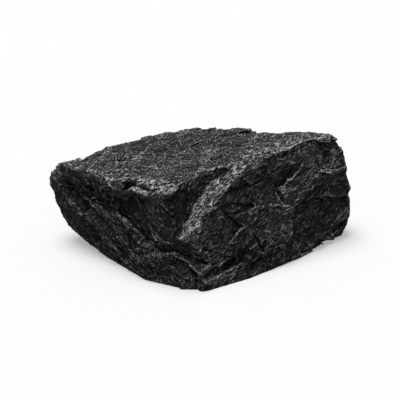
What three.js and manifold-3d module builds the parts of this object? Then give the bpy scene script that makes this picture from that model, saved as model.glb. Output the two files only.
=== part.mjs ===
// A rough boulder of dark foliated stone: one closed solid.
//
// Frame: millimetres, +X to the right along the boulder's length, +Y to the back, +Z up.
// It stands on a flat underside, and the origin is on the ground, in the middle of its bounding box.
//
// The boulder is made as a stone is broken: a convex lump, from which spalls have come away. Thin flakes
// leave shallow scoops with an irregular outline. Slanted boxes leave ledges: each takes two sides, a tread
// and a riser, that meet along an inner edge. After that the whole surface is made a little uneven.

import * as THREE from "three";
import { ConvexGeometry } from "three/addons/geometries/ConvexGeometry.js";
import { SimplexNoise } from "three/addons/math/SimplexNoise.js";
import { TessellateModifier } from "three/addons/modifiers/TessellateModifier.js";
import { mergeVertices } from "three/addons/utils/BufferGeometryUtils.js";
import Module from "manifold-3d";

const wasm = await Module();
wasm.setup();

// ---- Driving dimensions, in millimetres ----

// Corners of the convex lump: [right, back, up].
const TOP_RIM = [
  [-50, -152, 176], // front corner
  [-150, -96, 162], // a bulge of the rim
  [-195, -45, 170],
  [-268, 10, 171], // left end
  [-170, 82, 184],
  [-110, 114, 191],
  [-48, 128, 197],
  [62, 127, 205], // highest part of the back rim
  [266, 56, 215], // right end
];
const LEFT_END = [
  [-294, 15, 152],
  [-304, 20, 128],
  [-290, 15, 86],
  [-266, 12, 40],
  [-236, 8, 8],
];
const RIGHT_END = [
  [285, 50, 205],
  [294, 45, 180],
  [308, 45, 108],
  [313, 40, 60],
  [310, 28, 17],
  [301, 20, 4],
];
const FOOT = [
  [13, -194, 0], // front corner
  [-30, -186, 0],
  [-90, -161, 0],
  [-126, -122, 0],
  [-180, -65, 0],
  [-224, 8, 0],
  [-170, 112, 0],
  [-80, 160, 0],
  [60, 168, 0],
  [180, 132, 0],
  [260, 78, 0],
  [286, 6, 0],
  [203, -67, 0],
  [99, -146, 0],
];
const BACK_SIDE = [
  [-236, 78, 112],
  [-150, 148, 92],
  [-84, 180, 70],
  [44, 190, 96],
  [158, 166, 104],
  [246, 122, 118],
  [296, 84, 88],
];

// Ledges with a place of their own. The line is the ledge's inner edge, inside the lump. Its tread and its
// riser run from there to open air, and are long enough to end outside the stone.
const LEDGES = [
  // The long bright step right of the front corner. Its riser steepens along the rim.
  {
    line: [[-45, -178, 85], [-25, -140, 116], [-12, -104, 135]],
    tread: [78, -91, -8],
    riser: [-43, -29, 83],
  },
  {
    line: [[-27, -138, 109], [-3, -94, 137], [10, -81, 152], [42, -65, 173], [80, -33, 201]],
    tread: [78, -91, -8],
    riser: [-10, 22, 72],
  },
  // The wall below that step, down to a narrow ledge.
  {
    line: [[48, -114, 149], [74, -89, 155], [94, -74, 155], [115, -60, 161], [163, -16, 197]],
    tread: [50, -50, -12],
    riser: [-36, -29, 43],
  },
  // A pocket in that wall.
  { line: [[28, -120, 141], [49, -111, 120], [78, -101, 87]], tread: [-30, -44, -20], riser: [24, -29, 21] },
  // The broken lower edge of the plate below the narrow ledge, and the crack at its right.
  {
    line: [[152, -49, 142], [126, -69, 116], [111, -80, 111], [114, -82, 106], [95, -103, 80]],
    tread: [31, -9, -44],
    riser: [12, -20, 13],
  },
  { line: [[149, -42, 146], [156, -37, 128], [165, -42, 108]], tread: [20, -36, 4], riser: [-8, -40, 16] },
  // The edge of the lowest plate, at the foot of the front right.
  {
    line: [
      [9, -175, 31],
      [43, -150, 34],
      [72, -126, 37],
      [93, -103, 57],
      [109, -92, 65],
      [121, -99, 42],
      [128, -97, 58],
    ],
    tread: [2, -5, -14],
    riser: [8, -40, 20],
  },
  // A higher ledge under the rim on the right.
  {
    line: [[122, -37, 180], [143, -21, 188], [182, 8, 195], [222, 36, 203]],
    tread: [36, -19, -29],
    riser: [0, 10, 40],
  },
  // The smooth lower right of the front, set back from the plates.
  { line: [[242, 1, 130], [208, -25, 113], [175, -55, 86]], tread: [63, 20, -58], riser: [9, -16, 7] },
  { line: [[175, -55, 86], [171, -64, 69], [196, -57, 8]], tread: [82, 46, -3], riser: [9, -16, 7] },
  // The chipped corner at the upper right.
  { line: [[231, 10, 160], [264, 24, 150], [310, 56, 148]], tread: [30, -50, -4], riser: [37, 52, 60] },
  // Two short slots at the foot of the right side, and an overhang along it.
  { line: [[273, 11, 24], [284, 21, 27], [296, 29, 31]], tread: [2, -3, -8], riser: [8, -40, 20] },
  { line: [[241, -13, 16], [258, 0, 9], [275, 12, 1]], tread: [2, -4, -9], riser: [8, -40, 20] },
  { line: [[196, -50, -6], [246, 0, 0], [314, 42, 0]], tread: [20, -40, 14], riser: [6, -10, -40] },
  // The scoop left of the front corner, with a ledge at its foot.
  {
    line: [
      [-147, -91, 115],
      [-114, -116, 93],
      [-96, -129, 79],
      [-87, -138, 59],
      [-59, -152, 60],
      [-44, -157, 67],
      [15, -162, 40],
    ],
    tread: [-26, -38, -4],
    riser: [36, -31, 53],
  },
  // The bite out of the rim above the scoop.
  { line: [[-130, -87, 152], [-115, -93, 165], [-76, -125, 167]], tread: [-26, -38, 6], riser: [5, 4, 50] },
  // The leaves that end along a slanting line on the front left.
  {
    line: [[-240, -16, 133], [-222, -30, 120], [-183, -62, 96], [-165, -78, 85], [-107, -130, 22]],
    tread: [-45, 2, -40],
    riser: [-12, -18, 6],
  },
  // The rim behind the left end, and the lower right half of the back rim.
  { line: [[-264, 10, 169], [-236, 22, 170], [-210, 40, 176]], tread: [0, 60, -6], riser: [0, 5, 40] },
  {
    line: [[108, 100, 206], [120, 80, 205], [206, 73, 211], [290, 54, 217]],
    tread: [10, 60, -25],
    riser: [-5, 5, 50],
  },
];
const LEDGE_OVERLAP = 0.08; // share of a stretch of the line by which its spall runs past each end

// Thin flakes off the sides and the top of the lump. Each of their sizes has a smallest and a largest value.
const FLAKES = { seed: 51, count: 60, length: [40, 150], width: [25, 80], depth: [3, 9] };
const FLAKE_CORNERS = 7; // of its outline
const FLAKE_UNEVENNESS = 0.7; // share of the turn to the next corner by which a corner may be moved
const FLAKE_SWAY = 0.5; // most by which its length leans off the foliation's trace, per unit of length
const FLAKE_FLARE = 0.5; // how far its sides lean outwards, per unit of height
const FLAKE_REACH = 4; // height of its sides, in depths
const UNDERSIDE = -0.9; // a side that faces further down than this, of -1 to 1, stays whole

// The direction across the leaves of the foliation, which dip to the front.
const FOLIATION = new THREE.Vector3(0.19, -0.7, 0.69).normalize();

// Unevenness of a broken surface: wavelength and height of each scale of it.
const UNEVEN = [
  { wave: 110, height: 2.5 },
  { wave: 42, height: 1.8 },
  { wave: 17, height: 1.3 },
];
const UNEVEN_SEED = 20;
const UNEVEN_APART = 37; // waves between the parts of the noise that move a point right, back and up
const UNEVEN_FROM = 30; // height above the flat underside where the unevenness is full

const LONGEST_EDGE = 32; // of a triangle on the finished surface
const EDGE_SPLITS = 12; // rounds of halving that bring a face down to that edge
const SHORTEST_EDGE = 2; // of a triangle before the faces are split
const WELD = 1e-3; // vertices closer than this are one

// ---- Solids and surfaces ----

// A closed geometry as a solid that can be cut.
function toSolid(geometry) {
  const bare = new THREE.BufferGeometry().setAttribute("position", geometry.getAttribute("position"));
  if (geometry.index) bare.setIndex(geometry.index);
  const merged = mergeVertices(bare, WELD);
  return new wasm.Manifold(
    new wasm.Mesh({
      numProp: 3,
      vertProperties: merged.getAttribute("position").array,
      triVerts: new Uint32Array(merged.index.array),
    }),
  );
}

function toGeometry(solid) {
  const { vertProperties, triVerts, numProp } = solid.getMesh();
  const geometry = new THREE.BufferGeometry();
  geometry.setAttribute("position", new THREE.BufferAttribute(new Float32Array(vertProperties), numProp));
  geometry.setIndex(new THREE.BufferAttribute(new Uint32Array(triVerts), 1));
  return geometry;
}

// The biggest of a solid's separate bodies: slivers that a cut has freed fall away.
function biggestBody(solid) {
  return solid.decompose().sort((a, b) => b.volume() - a.volume())[0];
}

// Merges the two ends of each edge under the limit, where the surface stays closed. A round takes only edges
// that share no neighbour, so rounds follow until one finds nothing to merge.
function dropShortEdges(geometry, limit) {
  const position = geometry.getAttribute("position");
  const at = (v) => new THREE.Vector3().fromBufferAttribute(position, v);
  const indices = [...geometry.index.array];
  let faces = [];
  while (indices.length > 0) faces.push(indices.splice(-3));
  let merges;
  do {
    const neighbours = new Map(faces.flat().map((v) => [v, new Set()]));
    for (const [a, b, c] of faces) {
      neighbours.get(a).add(b).add(c);
      neighbours.get(b).add(c).add(a);
      neighbours.get(c).add(a).add(b);
    }
    const settled = new Set();
    merges = new Map();
    for (const [v, around] of neighbours) {
      for (const w of around) {
        const beyond = neighbours.get(w);
        const shared = [...around].filter((n) => beyond.has(n));
        const touched = [v, w, ...around, ...beyond];
        if (shared.length !== 2 || touched.some((n) => settled.has(n))) continue;
        if (at(v).distanceTo(at(w)) >= limit) continue;
        const [lower, upper] = at(v).z <= at(w).z ? [v, w] : [w, v];
        merges.set(upper, lower);
        touched.forEach((n) => settled.add(n));
      }
    }
    faces = faces.map((face) => face.map((v) => merges.get(v) ?? v));
    faces = faces.filter((face) => new Set(face).size === 3);
  } while (merges.size > 0);
  return geometry.setIndex(faces.flat()).toNonIndexed();
}

// ---- Chance ----

// A repeatable stream of numbers from 0 to 1: the generator known as mulberry32.
function randomStream(seed) {
  let state = seed;
  return () => {
    state = (state + 0x6d2b79f5) | 0;
    let bits = Math.imul(state ^ (state >>> 15), 1 | state);
    bits = (bits + Math.imul(bits ^ (bits >>> 7), 61 | bits)) ^ bits;
    return ((bits ^ (bits >>> 14)) >>> 0) / 2 ** 32;
  };
}

// Points spread evenly over a solid's surface, each with the direction that its side faces.
function surfacePoints(solid, count, random) {
  const faces = toGeometry(solid).toNonIndexed().getAttribute("position");
  const triangles = [];
  let area = 0;
  for (let i = 0; i < faces.count; i += 3) {
    const triangle = new THREE.Triangle().setFromAttributeAndIndices(faces, i, i + 1, i + 2);
    area += triangle.getArea();
    triangles.push({ triangle, upTo: area });
  }
  return Array.from({ length: count }, () => {
    const share = random() * area;
    const { triangle } = triangles.find(({ upTo }) => upTo >= share);
    const [low, high] = [random(), random()].sort((a, b) => a - b);
    const point = new THREE.Vector3();
    point.addScaledVector(triangle.a, low).addScaledVector(triangle.b, high - low);
    point.addScaledVector(triangle.c, 1 - high);
    return { point, normal: triangle.getNormal(new THREE.Vector3()) };
  });
}

// ---- The stone ----

function lump() {
  const corners = [...TOP_RIM, ...LEFT_END, ...RIGHT_END, ...FOOT, ...BACK_SIDE];
  return toSolid(new ConvexGeometry(corners.map((corner) => new THREE.Vector3(...corner))));
}

// A slanted box: one corner is at start, and along, tread and riser are the edges that meet there.
function spall(start, along, tread, riser) {
  const sides = [tread, riser];
  if (along.clone().cross(tread).dot(riser) < 0) sides.reverse();
  const place = new THREE.Matrix4().makeBasis(along, ...sides).setPosition(start);
  return toSolid(new THREE.BoxGeometry(1, 1, 1).translate(0.5, 0.5, 0.5).applyMatrix4(place));
}

// The spalls that leave a ledge, one for each stretch of its line.
function ledgeSpalls({ line, tread, riser }) {
  const points = line.map((point) => new THREE.Vector3(...point));
  return points.slice(1).map((end, i) => {
    const along = end.clone().sub(points[i]);
    const start = points[i].clone().addScaledVector(along, -LEDGE_OVERLAP);
    along.multiplyScalar(1 + 2 * LEDGE_OVERLAP);
    return spall(start, along, new THREE.Vector3(...tread), new THREE.Vector3(...riser));
  });
}

// A thin flake off the side that faces along normal. Its floor is flat, deepest at one long edge, and runs
// out at the opposite one. It is drawn out roughly along the trace of the foliation.
function flakeSpall(point, normal, { length, width, depth }, random) {
  const across = normal.clone().cross(FOLIATION.clone().cross(normal)).normalize();
  if (random() < 0.5) across.negate();
  const sway = FLAKE_SWAY * (2 * random() - 1);
  const along = across.clone().cross(normal).addScaledVector(across, sway).normalize();
  const corners = [];
  for (let i = 0; i < FLAKE_CORNERS; i++) {
    const turn = ((i + random() * FLAKE_UNEVENNESS) / FLAKE_CORNERS) * 2 * Math.PI;
    const outwards = along.clone().multiplyScalar((Math.cos(turn) * length) / 2);
    outwards.addScaledVector(across, (Math.sin(turn) * width) / 2);
    const corner = point.clone().add(outwards).addScaledVector(normal, (-depth * (1 + Math.sin(turn))) / 2);
    const side = outwards.normalize().multiplyScalar(FLAKE_FLARE).add(normal);
    corners.push(corner, corner.clone().addScaledVector(side, FLAKE_REACH * depth));
  }
  return toSolid(new ConvexGeometry(corners));
}

function brokenLump() {
  const whole = lump();
  const random = randomStream(FLAKES.seed);
  const between = ([low, high]) => low + (high - low) * random();
  const spalls = [];
  for (const { point, normal } of surfacePoints(whole, FLAKES.count, random)) {
    const [length, width, depth] = [FLAKES.length, FLAKES.width, FLAKES.depth].map(between);
    const flake = flakeSpall(point, normal, { length, width, depth }, random);
    if (normal.z > UNDERSIDE) spalls.push(flake);
  }
  spalls.push(...LEDGES.flatMap(ledgeSpalls));
  return biggestBody(spalls.reduce((rest, cut) => rest.subtract(cut), whole));
}

// Moves every vertex by a smooth function of its place, so that a closed surface stays closed. The movement
// fades out towards the ground, which keeps the underside flat.
function roughen(geometry) {
  const noise = new SimplexNoise({ random: randomStream(UNEVEN_SEED) });
  const position = geometry.getAttribute("position");
  for (let i = 0; i < position.count; i++) {
    const point = new THREE.Vector3().fromBufferAttribute(position, i);
    const shift = new THREE.Vector3();
    for (const { wave, height } of UNEVEN) {
      const part = (n) => point.clone().divideScalar(wave).addScalar(n * UNEVEN_APART);
      const [right, back, up] = [0, 1, 2].map((n) => noise.noise3d(...part(n)));
      shift.addScaledVector(new THREE.Vector3(right, back, up), height);
    }
    point.addScaledVector(shift, Math.min(1, point.z / UNEVEN_FROM));
    position.setXYZ(i, ...point);
  }
  return geometry;
}

// Brings the middle of the footprint's box to the origin.
function centre(geometry) {
  geometry.computeBoundingBox();
  const middle = geometry.boundingBox.getCenter(new THREE.Vector3());
  return geometry.translate(-middle.x, -middle.y, 0);
}

function stoneGeometry() {
  const faces = dropShortEdges(toGeometry(brokenLump()), SHORTEST_EDGE);
  const stone = centre(roughen(new TessellateModifier(LONGEST_EDGE, EDGE_SPLITS).modify(faces)));
  stone.computeVertexNormals();
  return stone;
}

const darkStone = new THREE.MeshStandardMaterial({ color: 0x2d2c2b, roughness: 0.7, metalness: 0 });

const boulder = new THREE.Mesh(stoneGeometry(), darkStone);
boulder.name = "boulder";

const root = new THREE.Group();
root.add(boulder);

export default root;
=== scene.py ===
"""A rough dark boulder of leafy stone.

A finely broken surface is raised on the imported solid's own, and given its look.
"""

import math
from typing import NamedTuple

import bpy
import numpy as np
from mathutils import Matrix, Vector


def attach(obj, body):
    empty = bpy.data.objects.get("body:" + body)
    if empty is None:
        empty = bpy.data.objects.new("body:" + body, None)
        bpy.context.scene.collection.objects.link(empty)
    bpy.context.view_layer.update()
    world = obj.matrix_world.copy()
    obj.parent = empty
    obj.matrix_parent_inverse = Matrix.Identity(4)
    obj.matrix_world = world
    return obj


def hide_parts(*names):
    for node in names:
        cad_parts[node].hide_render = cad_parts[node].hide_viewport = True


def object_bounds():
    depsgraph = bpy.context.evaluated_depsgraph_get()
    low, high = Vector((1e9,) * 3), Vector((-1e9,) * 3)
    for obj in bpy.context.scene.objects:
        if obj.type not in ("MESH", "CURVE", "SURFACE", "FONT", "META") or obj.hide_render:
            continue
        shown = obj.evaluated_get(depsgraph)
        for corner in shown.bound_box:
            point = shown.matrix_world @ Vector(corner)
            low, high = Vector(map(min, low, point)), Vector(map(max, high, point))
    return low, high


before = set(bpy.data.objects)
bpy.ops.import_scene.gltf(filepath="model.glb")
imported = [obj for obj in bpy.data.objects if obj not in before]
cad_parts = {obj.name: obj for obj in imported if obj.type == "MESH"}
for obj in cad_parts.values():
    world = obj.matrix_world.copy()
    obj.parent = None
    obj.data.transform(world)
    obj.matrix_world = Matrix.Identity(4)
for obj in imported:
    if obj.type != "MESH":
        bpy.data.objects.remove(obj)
cad_box = [list(corner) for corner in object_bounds()]

MM = 0.001  # one millimetre in metres; all sizes and places but the stage's are in millimetres


# ---- The grain of the stone ----


def unit(vector):
    return np.array(vector) / np.linalg.norm(vector)


UP = np.array([0.0, 0.0, 1.0])

# The direction across the leaves of the foliation, and two directions along them.
ACROSS = unit([0.19, -0.70, 0.69])
STRIKE = unit(np.cross(UP, ACROSS))
DIP = np.cross(ACROSS, STRIKE)
FOLIATION = np.array([STRIKE, DIP, ACROSS])  # turns a place into the leaves' own axes

# The mineral streaks: their rough direction, brought into the plane of the leaves.
ROUGH_STREAK = np.array([0.671, 0.605, 0.428])
STREAK = unit(ROUGH_STREAK - (ROUGH_STREAK @ ACROSS) * ACROSS)
STREAKS = np.array([STREAK, np.cross(ACROSS, STREAK), ACROSS])  # turns a place into the streaks' own axes


# ---- Where the surface changes its character ----


class Facing(NamedTuple):
    """Surfaces that face a direction, or face away from it.

    They count as 0 where the cosine to it is at none, changing to 1 where it is at full.
    """

    direction: np.ndarray
    none: float
    full: float


class Mark(NamedTuple):
    """What faces the given ways about a straight line, fading out at the radius from it."""

    start: tuple
    end: tuple
    radius: float
    strength: float = 1.0
    facings: tuple = ()


SLAB_NORMAL = unit([-0.344, -0.372, 0.862])
ON_SLAB = Facing(SLAB_NORMAL, 0.82, 0.92)
OFF_SLAB = Facing(SLAB_NORMAL, 0.80, 0.70)
ON_LEAF = Facing(ACROSS, 0.55, 0.85)
ON_TOP = Facing(UP, 0.70, 0.90)
LEVEL = Facing(UP, 0.75, 0.90)
NOT_LEVEL = Facing(UP, 0.84, 0.78)
STEEP = Facing(UP, 0.80, 0.65)
UNDER_RIM = Facing(UP, 0.80, 0.70)
WALL = Facing(UP, 0.60, 0.45)

FRESH_AND_SHEEN = [  # freshly split stone, with more partings, and a painted sheen: thick with bright glints painted into its colour
    Mark((-25, -135, 115), (62, -68, 175), 62, 1.0, (ON_SLAB,)),  # the slab right of the front corner
    Mark((-170, -70, 170), (-45, -135, 178), 42, 1.0, (LEVEL,)),  # the front rim of the top
    Mark((95, -12, 205), (250, 50, 214), 46, 0.65, (LEVEL,)),  # the right rim of the top
    Mark((150, -45, 125), (212, -5, 168), 34, 0.35, (STEEP,)),  # a band on the right wall
    Mark((10, -148, 100), (42, -135, 72), 30, 0.25, (STEEP,)),  # below the slab
    Mark((-262, 0, 172), (-170, -68, 172), 28, 0.45, (LEVEL,)),  # the left rim of the top
    Mark((-296, 14, 160), (-288, 0, 140), 26, 0.5, (STEEP,)),  # the facet at the left tip
]
SHADE_MARKS = [  # painted shade: the stone darkened where less light falls, under the rims, at the walls' feet, by the front edge and at the back of the top
    Mark((-40, -130, 150), (75, -50, 197), 40, 1.0, (STEEP, OFF_SLAB)),  # the low wall above the slab
    Mark((-262, -20, 145), (-120, -122, 150), 42, 1.0, (UNDER_RIM,)),  # the left wall under its rim
    Mark((125, -60, 168), (195, -20, 174), 40, 1.0, (UNDER_RIM,)),  # the right wall under its rim
    Mark((55, -140, 25), (130, -115, 25), 34, 0.9, (UNDER_RIM,)),  # the foot of the right wall
    Mark((-53, -147, 174), (-50, -161, 120), 16, 1.0),  # the upright edge below the top's front corner
    Mark((-130, 65, 190), (60, 55, 205), 70, 0.5, (LEVEL,)),  # the back of the top
    Mark((-235, -35, 85), (-130, -120, 35), 45, 0.4, (WALL,)),  # the foot of the left wall
    Mark((-262, -12, 166), (-135, -112, 163), 34, 1.0, (NOT_LEVEL,)),  # the bevel along the left rim
    Mark((130, -40, 186), (245, 25, 196), 34, 1.0, (NOT_LEVEL,)),  # the bevel along the right rim
]
CALM = [Mark((-105, -125, 145), (-35, -160, 105), 58, 1.0, (WALL,))]  # the smooth scoop on the left wall
TIP = [Mark((-300, 0, 165), (-290, 20, 130), 50)]  # the left tip, spared from plates and large bites

MARK_GAIN = 1.4  # more than 1, so that a mark is at its full strength for some way around its line


def facing(n, way):
    """How far the normals face that way, 0 to 1."""
    return np.clip((n @ way.direction - way.none) / (way.full - way.none), 0, 1)


def near_line(p, start, end, radius):
    """1 close to the straight line from start to end, fading to 0 at the radius from it."""
    start, end = np.array(start), np.array(end)
    line = end - start
    share = np.clip((p - start) @ line / (line @ line), 0, 1)
    distance = np.linalg.norm(p - start - share[:, None] * line, axis=1)
    return np.clip(MARK_GAIN * (1 - distance / radius), 0, 1)


def marked(p, n, marks):
    """How far each place belongs to the strongest of the marks, 0 to 1."""
    strongest = np.zeros(len(p))
    for mark in marks:
        here = mark.strength * near_line(p, mark.start, mark.end, mark.radius)
        for way in mark.facings:
            here = here * facing(n, way)
        strongest = np.maximum(strongest, here)
    return strongest


# ---- Noise ----


def hashed(ix, iy, iz, seed):
    """A repeatable number from 0 to 1 for each whole-numbered place.

    The multipliers are odd numbers with well mixed bits, and the shifts carry the high bits down.
    """
    h = (
        ix.astype(np.uint32) * np.uint32(0x8DA6B343)
        ^ iy.astype(np.uint32) * np.uint32(0xD8163841)
        ^ iz.astype(np.uint32) * np.uint32(0xCB1AB31F)
        ^ np.uint32(seed * 0x9E3779B1 & 0xFFFFFFFF)
    )
    h ^= h >> np.uint32(16)
    h *= np.uint32(0x7FEB352D)
    h ^= h >> np.uint32(15)
    h *= np.uint32(0x846CA68B)
    h ^= h >> np.uint32(16)
    return h.astype(np.float64) / 2**32


TURN_SEED = 101  # set off the seed of a slope's turn from the seed of its height
NOISE_GAIN = 1.5  # brings the noise to about -1 to 1


def noise(p, seed):
    """Gradient noise of wavelength 1 at each row of p."""
    base = np.floor(p).astype(np.int64)
    f = p - base
    fade = f * f * f * (f * (f * 6 - 15) + 10)  # 0 to 1 across a cell, level at both ends
    total = np.zeros(len(p))
    for dx in (0, 1):
        for dy in (0, 1):
            for dz in (0, 1):
                x, y, z = base[:, 0] + dx, base[:, 1] + dy, base[:, 2] + dz
                up = hashed(x, y, z, seed) * 2 - 1
                turn = hashed(x, y, z, seed + TURN_SEED) * 2 * math.pi
                flat = np.sqrt(1 - up * up)
                slope = (
                    flat * np.cos(turn) * (f[:, 0] - dx)
                    + flat * np.sin(turn) * (f[:, 1] - dy)
                    + up * (f[:, 2] - dz)
                )
                wx = fade[:, 0] if dx else 1 - fade[:, 0]
                wy = fade[:, 1] if dy else 1 - fade[:, 1]
                wz = fade[:, 2] if dz else 1 - fade[:, 2]
                total += slope * wx * wy * wz
    return total * NOISE_GAIN


# ---- The relief: how far the surface stands out of the solid ----


class Leaves(NamedTuple):
    """Steps between the leaves: each leaf of this thickness stands out by its own share of the height."""

    height: float
    thickness: float
    reach: float  # how far along a leaf its share changes
    seed: int


class Facets(NamedTuple):
    """Broken facets: cells of this size along strike, dip and across, each with its own lean."""

    height: float
    cell: tuple
    lean: float
    seed: int
    spared: float = 0.5  # the level that leaves the surface as it is


class Partings(NamedTuple):
    """Thin open gaps between leaves."""

    depth: float
    spacing: float
    width: float
    reach: float
    seed: int


LEAF_STEPS = [Leaves(5.0, 21, 70, 11), Leaves(4.6, 8, 45, 21), Leaves(1.8, 3.6, 25, 31)]
PLATES = Facets(2.6, (80, 64, 46), 2.4, 131)
FACETS = [Facets(2.0, (42, 42, 20), 0.8, 41), Facets(1.1, (18, 18, 7), 0.8, 51)]
TOP_FACETS = Facets(3.0, (60, 46, 30), 0.9, 91)
BITES = Facets(7.0, (34, 24, 12), 0.7, 61, spared=0.35)
LARGE_BITES = Facets(8.0, (70, 50, 38), 0.9, 63, spared=0.5)
TEETH = Facets(5.5, (19, 13, 8), 0.6, 67, spared=0.4)
PARTINGS = Partings(3.2, 8, 1.5, 40, 71)
FRESH_PARTINGS = Partings(3.5, 5.5, 1.6, 45, 83)

LEAF_BEND, LEAF_BEND_LENGTH = 0.9, 6  # in thicknesses of the leaf
LEAF_STRIDE = 7.31  # between two leaves, in waves of the noise, so that they have nothing in common
PARTING_BEND, PARTING_BEND_LENGTH = 0.7, 8  # in spacings of the partings
PARTING_STRIDE = 5.17
PARTING_GAIN, PARTING_LOSS = 3, 0.6  # only the noise's higher places are open, and they open quickly
STEPS_LOST_ON_LEAF = 0.65
STEPS_LOST_WHERE_CALM = 0.6
PLATES_LOST_WHERE_FRESH = 0.6
LIFT = 0.8  # makes up for the bites, so that the outline stays the solid's
FOOT = 12  # the relief dies out over this height above the ground

# How far an edge stands out of its neighbourhood to be bitten in full, and the rounds of smoothing.
BITTEN_EDGE, BITTEN_ROUNDS = 3.0, 24
TOOTHED_EDGE, TOOTHED_ROUNDS = 1.6, 10


def leaf_steps(q, leaves):
    """How far each leaf stands out, about -0.5 to 0.5."""
    bend = LEAF_BEND * noise(q / (LEAF_BEND_LENGTH * leaves.thickness), leaves.seed)
    leaf = np.floor(q[:, 2] / leaves.thickness + bend)
    place = np.stack([q[:, 0] / leaves.reach, q[:, 1] / leaves.reach, leaf * LEAF_STRIDE], 1)
    return 0.5 * noise(place, leaves.seed + 1)


def facets(q, kind, lean=None):
    """The level of the facet at each place, about 0 to 1.

    Each place belongs to the cell whose middle is nearest.
    """
    p = q / np.array(kind.cell)
    lean = kind.lean if lean is None else lean
    base = np.floor(p).astype(np.int64)
    best = np.full(len(p), np.inf)
    value = np.zeros(len(p))
    for dx in (-1, 0, 1):
        for dy in (-1, 0, 1):
            for dz in (-1, 0, 1):
                x, y, z = base[:, 0] + dx, base[:, 1] + dy, base[:, 2] + dz
                # Three numbers for the place of the middle, three for the lean and one for the level.
                numbers = [hashed(x, y, z, kind.seed + k) for k in range(7)]
                away = p - (np.stack([x, y, z], 1) + np.stack(numbers[:3], 1))
                distance = (away * away).sum(1)
                slope = np.stack(numbers[3:6], 1) * 2 - 1
                here = numbers[6] + lean * (away * slope).sum(1)
                nearer = distance < best
                best = np.where(nearer, distance, best)
                value = np.where(nearer, here, value)
    return value


def bitten(q, kind):
    """How deep each place is bitten, 0 to the kind's height: only facets above the spared level are."""
    return kind.height * np.clip(facets(q, kind) - kind.spared, 0, 1)


def open_partings(q, kind):
    """How deep each place is in a parting: some leaves have one, over part of their length."""
    bend = PARTING_BEND * noise(q / (PARTING_BEND_LENGTH * kind.spacing), kind.seed)
    level = q[:, 2] / kind.spacing + bend
    leaf = np.round(level)
    near = np.clip(1 - np.abs(level - leaf) * kind.spacing / kind.width, 0, 1)
    place = np.stack([q[:, 0] / kind.reach, q[:, 1] / kind.reach, leaf * PARTING_STRIDE], 1)
    opened = np.clip(PARTING_GAIN * noise(place, kind.seed + 1) - PARTING_LOSS, 0, 1)
    return kind.depth * near * opened


def edges_of(mesh, points, normals, full, rounds):
    """How far each point stands out of its neighbourhood, along its normal.

    It is 1 where it stands out by the full height or more, and -1 where it lies as far in.
    The more rounds of smoothing, the wider the neighbourhood.
    """
    pairs = np.empty(len(mesh.edges) * 2, np.int32)
    mesh.edges.foreach_get("vertices", pairs)
    a, b = pairs.reshape(-1, 2).T
    count = np.bincount(a, minlength=len(points)) + np.bincount(b, minlength=len(points))

    def averaged(values):
        return (np.bincount(a, values[b], len(values)) + np.bincount(b, values[a], len(values))) / count

    out = np.zeros(len(points))
    for axis in range(3):
        smooth = points[:, axis]
        for _ in range(rounds):
            smooth = averaged(smooth)
        out += (points[:, axis] - smooth) * normals[:, axis]
    return np.clip(averaged(out) / full, -1, 1)


def relief(mesh, p, n, fresh_and_sheen, calm, tip):
    """How far each point of the solid's surface moves out along its normal."""
    q = p @ FOLIATION.T
    depth = np.full(len(p), LIFT)
    stepped = (1 - STEPS_LOST_ON_LEAF * facing(n, ON_LEAF)) * (1 - STEPS_LOST_WHERE_CALM * calm)
    for leaves in LEAF_STEPS:
        depth += stepped * leaves.height * leaf_steps(q, leaves)
    plated = facing(n, STEEP) * (1 - PLATES_LOST_WHERE_FRESH * fresh_and_sheen) * (1 - calm) * (1 - tip)
    depth += plated * PLATES.height * (facets(q, PLATES) - PLATES.spared)
    for kind in FACETS:
        depth += kind.height * (facets(q, kind) - kind.spared)
    depth += facing(n, ON_TOP) * TOP_FACETS.height * (facets(q, TOP_FACETS) - TOP_FACETS.spared)
    depth -= open_partings(q, PARTINGS) + fresh_and_sheen * open_partings(q, FRESH_PARTINGS)
    edge = np.clip(edges_of(mesh, p, n, BITTEN_EDGE, BITTEN_ROUNDS), 0, 1)
    depth -= edge * (bitten(q, BITES) + (1 - tip) * bitten(q, LARGE_BITES))
    sharp = np.clip(edges_of(mesh, p, n, TOOTHED_EDGE, TOOTHED_ROUNDS), 0, 1)
    depth -= sharp * bitten(q, TEETH)
    return depth * np.clip(p[:, 2] / FOOT, 0, 1)


# ---- The stone ----

VOXEL = 1.7
WELD = 0.01
MOST_TRIANGLES = 196_000
PLATE_TONE_WHERE_CALM = 0.95

# How far an edge of the finished surface stands out to shine in full, and the rounds of smoothing.
# Painted highlights on edges and painted shade in hollows are read from it.
RIM_EDGE, RIM_ROUNDS = 0.30, 1
RIDGE_EDGE, RIDGE_ROUNDS = 0.8, 5


def evaluated(piece):
    """A new mesh of the piece as its modifiers leave it."""
    graph = bpy.context.evaluated_depsgraph_get()
    return bpy.data.meshes.new_from_object(piece.evaluated_get(graph))


def remeshed(source, name):
    """A new object with an even fine mesh over a CAD node's surface."""
    mesh = source.data.copy()
    piece = bpy.data.objects.new(name, mesh)
    bpy.context.scene.collection.objects.link(piece)
    weld = piece.modifiers.new("weld", "WELD")
    weld.merge_threshold = WELD * MM
    remesh = piece.modifiers.new("remesh", "REMESH")
    remesh.mode = "VOXEL"
    remesh.voxel_size = VOXEL * MM
    fine = evaluated(piece)
    piece.modifiers.clear()
    piece.data = fine
    bpy.data.meshes.remove(mesh)
    fine.name = name
    return piece


def thinned(piece, most):
    """The piece with at most that many triangles, fewest where its surface is flat."""
    count = sum(len(face.vertices) - 2 for face in piece.data.polygons)
    cut = piece.modifiers.new("thin", "DECIMATE")
    cut.ratio = most / count
    fewer = evaluated(piece)
    piece.modifiers.clear()
    piece.data = fewer
    return piece


def points_of(mesh):
    """The mesh's points, one row each."""
    points = np.empty(len(mesh.vertices) * 3)
    mesh.vertices.foreach_get("co", points)
    return points.reshape(-1, 3) / MM


def normals_of(mesh):
    """The normals at the mesh's points, one row each."""
    normals = np.empty(len(mesh.vertices) * 3)
    mesh.vertex_normals.foreach_get("vector", normals)
    return normals.reshape(-1, 3)


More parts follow.
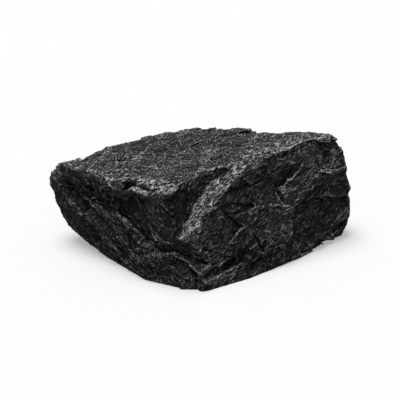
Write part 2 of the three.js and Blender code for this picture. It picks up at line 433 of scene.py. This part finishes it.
def move_points(mesh, points):
    """Moves the mesh's points, none of them out of the solid's box."""
    low, high = np.array(cad_box)
    mesh.vertices.foreach_set("co", np.clip(points * MM, low, high).ravel())
    mesh.update()


def keep_values(mesh, values):
    """Keeps a number for each point under each name, for the material to read."""
    for name, numbers in values.items():
        attribute = mesh.attributes.new(name, "FLOAT", "POINT")
        attribute.data.foreach_set("value", numbers.astype(np.float32))


def boulder(source, name):
    """The stone: the solid's surface with its relief, and the numbers that its material reads."""
    piece = remeshed(source, name)
    mesh = piece.data
    p = points_of(mesh)
    n = normals_of(mesh)
    fresh_and_sheen = marked(p, n, FRESH_AND_SHEEN)
    calm = marked(p, n, CALM)
    plate = facets(p @ FOLIATION.T, PLATES, lean=0.0)
    depth = relief(mesh, p, n, fresh_and_sheen, calm, marked(p, n, TIP))
    move_points(mesh, p + n * depth[:, None])
    raised = points_of(mesh)
    raised_normals = normals_of(mesh)
    values = {
        "leaf": np.abs(n @ ACROSS),
        "upward": np.clip(n[:, 2], 0, 1),
        "fresh_and_sheen": fresh_and_sheen,
        "painted_shade": marked(p, n, SHADE_MARKS),
        "calm": calm,
        "tone": np.maximum(plate, PLATE_TONE_WHERE_CALM * calm),
        "edge": edges_of(mesh, raised, raised_normals, RIM_EDGE, RIM_ROUNDS),
        "ridge": edges_of(mesh, raised, raised_normals, RIDGE_EDGE, RIDGE_ROUNDS),
    }
    keep_values(mesh, values)
    piece = thinned(piece, MOST_TRIANGLES)
    move_points(piece.data, points_of(piece.data))  # back into the box, if thinning pushed any out
    return piece


# ---- Materials ----


class Nodes:
    """Short calls that add nodes to a material or a world and link them."""

    def __init__(self, owner):
        owner.use_nodes = True
        self.tree = owner.node_tree
        self.tree.nodes.clear()

    def add(self, kind, inputs=None, **settings):
        """A new node. Each of its inputs, by name or number, is linked to a socket or set to a value."""
        node = self.tree.nodes.new(kind)
        for name, value in settings.items():
            setattr(node, name, value)
        for key, value in (inputs or {}).items():
            if isinstance(value, bpy.types.NodeSocket):
                self.tree.links.new(value, node.inputs[key])
            else:
                node.inputs[key].default_value = value
        return node

    def maths(self, operation, a, b=0.0):
        return self.add("ShaderNodeMath", {0: a, 1: b}, operation=operation).outputs[0]

    def vector_maths(self, operation, inputs):
        return self.add("ShaderNodeVectorMath", inputs, operation=operation).outputs[0]

    def largest(self, first, *others):
        for other in others:
            first = self.maths("MAXIMUM", first, other)
        return first

    def ramp(self, value, start, end, before=0.0, after=1.0):
        """A smooth change from before to after, as the value goes from start to end."""
        inputs = {"Value": value, "From Min": start, "From Max": end, "To Min": before, "To Max": after}
        return self.add("ShaderNodeMapRange", inputs, interpolation_type="SMOOTHSTEP").outputs[0]

    def blended(self, share, a, b):
        """A number between a and b."""
        return self.add("ShaderNodeMix", {0: share, 2: a, 3: b}, data_type="FLOAT").outputs[0]

    def mixed(self, share, a, b):
        """A colour between a and b."""
        return self.add("ShaderNodeMix", {0: share, 6: a, 7: b}, data_type="RGBA").outputs[2]

    def kept(self, name):
        """The number that the mesh keeps under the name."""
        return self.add("ShaderNodeAttribute", attribute_name=name).outputs["Fac"]


WARM, NEUTRAL = (1, 0.986, 0.964), (1, 1, 1)


def grey(value, tint=WARM):
    """A grey of that value, slightly warm unless it is to be neutral."""
    return (*(value * share for share in tint), 1)


# The streaks along the foliation: their length, their width and their detail.
STREAK_SIZES = {"fibre": (10, 1.45, 2.0), "glint": (8, 1.6, 2.0), "stroke": (18, 1.9, 1.5)}
STREAK_DEPTH = 7  # how deep a streak on a leaf's face goes, in widths

# The grains that show in place of some streaks on the weathered top: their size along, beside and across.
GRAIN_SIZES = {"glint": (3, 3, 1.8), "fibre": (2.2, 2.2, 2.2)}

# The broader patterns: their size along the streaks, beside them and across the leaves, and their detail.
PATTERN_SIZES = {
    "patch": (70, 60, 28, 3.0),
    "spread": (26, 20, 9, 2.0),
    "level": (64, 46, 34, 1.2),
    "breaks": (22, 18, 14, 1.0),
}
DRIFT, DRIFT_LENGTH, DRIFT_DETAIL = 4, 55, 1.0  # how far the streaks wander, and over what length

# What shows where. Each layer is the product of its ramps: (pattern, start, end, before, after).
# A ramp goes from before to after as the pattern goes from start to end. Where before and after aren't
# given, they are 0 and 1.
LEAF_FACE = [("leaf", 0.60, 0.85)]
TOP_FACE = [("upward", 0.76, 0.86)]
FIBRES = [("fibre", 0.45, 0.57), ("stroke", 0.36, 0.56, 0.35, 1.0)]
# Painted glints: bright specks and short lines put into the colour as highlights.
FEW_GLINTS = [("glint", 0.57, 0.63), ("spread", 0.44, 0.60, 0.22, 1.0)]
MANY_GLINTS = [("glint", 0.50, 0.60), ("spread", 0.36, 0.56, 0.35, 1.0)]
GLINT_LINES = [
    ("stroke", 0.58, 0.64, 0.0, 0.75),
    ("glint", 0.42, 0.58, 0.15, 1.0),
    ("spread", 0.35, 0.60, 0.25, 1.0),
    ("top", 0.0, 1.0, 1.0, 0.35),
]
NOT_FRESH_OR_SHEEN = [("fresh_and_sheen", 0.0, 0.5, 1.0, 0.0)]
NOT_CALM = [("calm", 0.0, 1.0, 1.0, 0.35)]
CALM_VEIL = [("calm", 0.0, 1.0, 0.0, 0.35)]
# Painted highlights: thin bright lines along the edges of flakes on the top.
THREAD_HIGHLIGHTS = [
    ("contour", 0.003, 0.010, 0.7, 0.0),
    ("top", 0.0, 1.0),
    ("breaks", 0.46, 0.56),
    ("glint", 0.40, 0.52, 0.35, 1.0),
]
# Painted highlights along rims and crests, where edges would catch the light.
RIM_HIGHLIGHTS = [("edge", 0.25, 0.80), ("glint", 0.42, 0.58, 0.10, 1.0)]
CREST_HIGHLIGHTS = [
    ("ridge", 0.15, 0.70),
    ("glint", 0.44, 0.62, 0.10, 1.0),
    ("spread", 0.42, 0.58, 0.10, 1.0),
    ("open", 0.0, 1.0, 1.0, 0.75),
]
# Painted shade in hollows, fine and broad.
FINE_HOLLOW_SHADE = [("edge", -1.0, -0.15, 0.85, 0.0)]
BROAD_HOLLOW_SHADE = [("ridge", -1.0, -0.3, 0.425, 0.0)]
PATCHES = [("patch", 0.30, 0.70)]
PLATE_SHADES = [("tone", 0.1, 0.7, 0.34, 0.0), ("open", 0.0, 1.0, 1.0, 0.15)]
PAINTED_SHADE = [("painted_shade", 0.0, 1.0, 0.0, 0.65)]
ROUGHNESS = [("fibre", 0.45, 0.65, 0.90, 0.45)]

DARK, LESS_DARK = grey(0.011, NEUTRAL), grey(0.018)
# Painted light: steep faces get lighter fibres than open ones, making up for the light they lack.
STEEP_FIBRE, OPEN_FIBRE = grey(0.064), grey(0.040)
# Painted highlights: the glints' grey, brighter on the top, where more light falls, and brightest on the
# fresh places.
STEEP_GLINT, TOP_GLINT, FRESH_GLINT = grey(0.42), grey(0.50), grey(0.70)
# The grey of the painted shade and of the darker plates, and the near black of the painted shade in
# hollows.
SHADED, HOLLOW_SHADE = grey(0.006, NEUTRAL), grey(0.003, NEUTRAL)
CALM_GREY = grey(0.045)
SHINE = 0.10
BUMPS = {"fibre": 0.7, "glint": 0.4}  # how high the pattern stands out


def layer(g, found, ramps):
    """The product of a layer's ramps."""
    parts = [g.ramp(found[name], *ends) for name, *ends in ramps]
    product = parts[0]
    for part in parts[1:]:
        product = g.maths("MULTIPLY", product, part)
    return product


def stone_patterns(g):
    """Each pattern of the stone by name: noise along the streaks, and numbers kept on the mesh."""
    place = g.add("ShaderNodeTexCoord").outputs["Object"]
    turn = Matrix(STREAKS.tolist()).to_euler("XYZ")
    turned = g.add("ShaderNodeMapping", {"Vector": place, "Rotation": turn}).outputs[0]
    noise_inputs = {"Vector": turned, "Scale": 1 / (DRIFT_LENGTH * MM), "Detail": DRIFT_DETAIL}
    drift = g.add("ShaderNodeTexNoise", noise_inputs).outputs["Color"]
    drift = g.vector_maths("SUBTRACT", {0: drift, 1: (0.5, 0.5, 0.5)})
    drift = g.vector_maths("SCALE", {0: drift, "Scale": DRIFT * MM})
    wandering = g.vector_maths("ADD", {0: turned, 1: drift})

    def grain(along, beside, across, detail):
        scale = (1 / (along * MM), 1 / (beside * MM), 1 / (across * MM))
        stretched = g.add("ShaderNodeMapping", {"Vector": wandering, "Scale": scale}).outputs[0]
        inputs = {"Vector": stretched, "Scale": 1.0, "Detail": detail}
        return g.add("ShaderNodeTexNoise", inputs).outputs[0]

    found = {name: grain(*sizes) for name, sizes in PATTERN_SIZES.items()}
    for name in ("leaf", "upward", "fresh_and_sheen", "painted_shade", "calm", "tone", "edge", "ridge"):
        found[name] = g.kept(name)
    found["top"] = layer(g, found, TOP_FACE)
    weathered = g.maths("MULTIPLY", found["top"], layer(g, found, NOT_FRESH_OR_SHEEN))
    on_leaf = layer(g, found, LEAF_FACE)
    for name, (along, width, detail) in STREAK_SIZES.items():
        on_flat = grain(along, width, STREAK_DEPTH * width, detail)
        on_cut = grain(along, along, width, detail)  # lines of the leaves, where a face cuts them
        found[name] = g.blended(on_leaf, on_cut, on_flat)
        if name in GRAIN_SIZES:
            found[name] = g.blended(weathered, found[name], grain(*GRAIN_SIZES[name], detail))
    found["open"] = g.largest(found["top"], found["fresh_and_sheen"])
    found["contour"] = g.maths("ABSOLUTE", g.maths("SUBTRACT", found["level"], 0.5))
    return found


def stone_colour(g, found):
    """Dark stone with grey fibres; painted highlights: bright glints where it is split or broken and on
    its edges; painted shade: black in the hollows and dark at the marked places.
    """

    def shown(ramps):
        return layer(g, found, ramps)

    # Painted glints, many more on the fresh places, where they are a painted sheen.
    glints = g.blended(found["fresh_and_sheen"], shown(FEW_GLINTS), shown(MANY_GLINTS))
    glints = g.maths("MULTIPLY", g.largest(glints, shown(GLINT_LINES)), shown(NOT_CALM))
    # Painted highlights: glints, flake edges, rims and crests made bright in the colour.
    lit = g.largest(glints, shown(THREAD_HIGHLIGHTS), shown(RIM_HIGHLIGHTS), shown(CREST_HIGHLIGHTS))
    base = g.mixed(shown(PATCHES), DARK, LESS_DARK)
    # Painted light: lighter fibres on steep faces than on open ones.
    colour = g.mixed(shown(FIBRES), base, g.mixed(found["open"], STEEP_FIBRE, OPEN_FIBRE))
    colour = g.mixed(shown(CALM_VEIL), colour, CALM_GREY)
    glint = g.mixed(found["fresh_and_sheen"], g.mixed(found["top"], STEEP_GLINT, TOP_GLINT), FRESH_GLINT)
    colour = g.mixed(lit, colour, glint)
    colour = g.mixed(shown(PLATE_SHADES), colour, SHADED)
    # Painted shade at the marked places.
    colour = g.mixed(shown(PAINTED_SHADE), colour, SHADED)
    # Painted shade: the hollows darkened to near black.
    return g.mixed(g.largest(shown(FINE_HOLLOW_SHADE), shown(BROAD_HOLLOW_SHADE)), colour, HOLLOW_SHADE)


def dark_stone():
    material = bpy.data.materials.new("dark_stone")
    g = Nodes(material)
    found = stone_patterns(g)
    normal = {}
    for name, height in BUMPS.items():
        bump = {"Strength": 1.0, "Distance": height * MM, "Height": found[name], **normal}
        normal = {"Normal": g.add("ShaderNodeBump", bump).outputs[0]}
    look = {
        "Base Color": stone_colour(g, found),
        "Roughness": layer(g, found, ROUGHNESS),
        "Specular IOR Level": SHINE,
        **normal,
    }
    shader = g.add("ShaderNodeBsdfPrincipled", look)
    g.add("ShaderNodeOutputMaterial", {"Surface": shader.outputs[0]})
    return material


FLOOR_GREY, FLOOR_GLOW = 0.585, 0.34


def pale_floor():
    material = bpy.data.materials.new("pale_floor")
    g = Nodes(material)
    look = {
        "Base Color": (FLOOR_GREY, FLOOR_GREY, FLOOR_GREY, 1),
        "Roughness": 1.0,
        "Specular IOR Level": 0.0,
        "Emission Color": (1, 1, 1, 1),
        "Emission Strength": FLOOR_GLOW,
    }
    shader = g.add("ShaderNodeBsdfPrincipled", look)
    g.add("ShaderNodeOutputMaterial", {"Surface": shader.outputs[0]})
    return material


# ---- Stage: floor, light and camera, in metres ----

FLOOR_REACH = 9
SKY_AT_HORIZON, SKY_OVERHEAD = 0.13, 0.38
HORIZON, OVERHEAD = 0.1, 0.9  # the heights between which the sky brightens
PANEL_STRENGTH, PANEL_SPREAD = 2.6, 34  # the spread in degrees
PANEL_TILT = (-7, -11)  # degrees about x and y
CAMERA_PLACE = (-0.0034, -1.4077, 0.7524)
CAMERA_PITCH = 65
LENS, FILM = 70, 36  # millimetres


def add_floor():
    mesh = bpy.data.meshes.new("floor")
    corners = [(x * FLOOR_REACH, y * FLOOR_REACH, 0) for x, y in ((-1, -1), (1, -1), (1, 1), (-1, 1))]
    mesh.from_pydata(corners, [], [(0, 1, 2, 3)])
    mesh.materials.append(pale_floor())
    floor = bpy.data.objects.new("floor", mesh)
    bpy.context.scene.collection.objects.link(floor)
    floor.visible_diffuse = False  # its glow lights nothing else
    floor.visible_glossy = False
    return floor


def add_sky():
    world = bpy.data.worlds.new("studio")
    bpy.context.scene.world = world
    g = Nodes(world)
    direction = g.add("ShaderNodeTexCoord").outputs["Generated"]
    height = g.add("ShaderNodeSeparateXYZ", {"Vector": direction}).outputs["Z"]
    strength = g.ramp(height, HORIZON, OVERHEAD, SKY_AT_HORIZON, SKY_OVERHEAD)
    sky = g.add("ShaderNodeBackground", {"Color": (1, 1, 1, 1), "Strength": strength})
    g.add("ShaderNodeOutputWorld", {"Surface": sky.outputs[0]})


def add_panel():
    """A broad soft light, almost overhead and a little to the left and behind."""
    panel = bpy.data.objects.new("sky_panel", bpy.data.lights.new("sky_panel", "SUN"))
    panel.data.energy = PANEL_STRENGTH
    panel.data.angle = math.radians(PANEL_SPREAD)
    panel.rotation_euler = (math.radians(PANEL_TILT[0]), math.radians(PANEL_TILT[1]), 0)
    bpy.context.scene.collection.objects.link(panel)


def add_camera():
    camera = bpy.data.objects.new("camera", bpy.data.cameras.new("camera"))
    camera.data.lens = LENS
    camera.data.sensor_width = FILM
    camera.location = CAMERA_PLACE
    camera.rotation_euler = (math.radians(CAMERA_PITCH), 0, 0)
    bpy.context.scene.collection.objects.link(camera)
    bpy.context.scene.camera = camera


def set_plain_view():
    """Colours are shown as they are."""
    view = bpy.context.scene.view_settings
    view.view_transform = "Standard"
    view.look = "None"
    view.exposure = 0
    view.gamma = 1


stone = boulder(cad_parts["boulder"], "stone")
stone.data.materials.clear()
stone.data.materials.append(dark_stone())
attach(stone, "root")
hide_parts("boulder")

floor = add_floor()
add_sky()
add_panel()
add_camera()

set_plain_view()
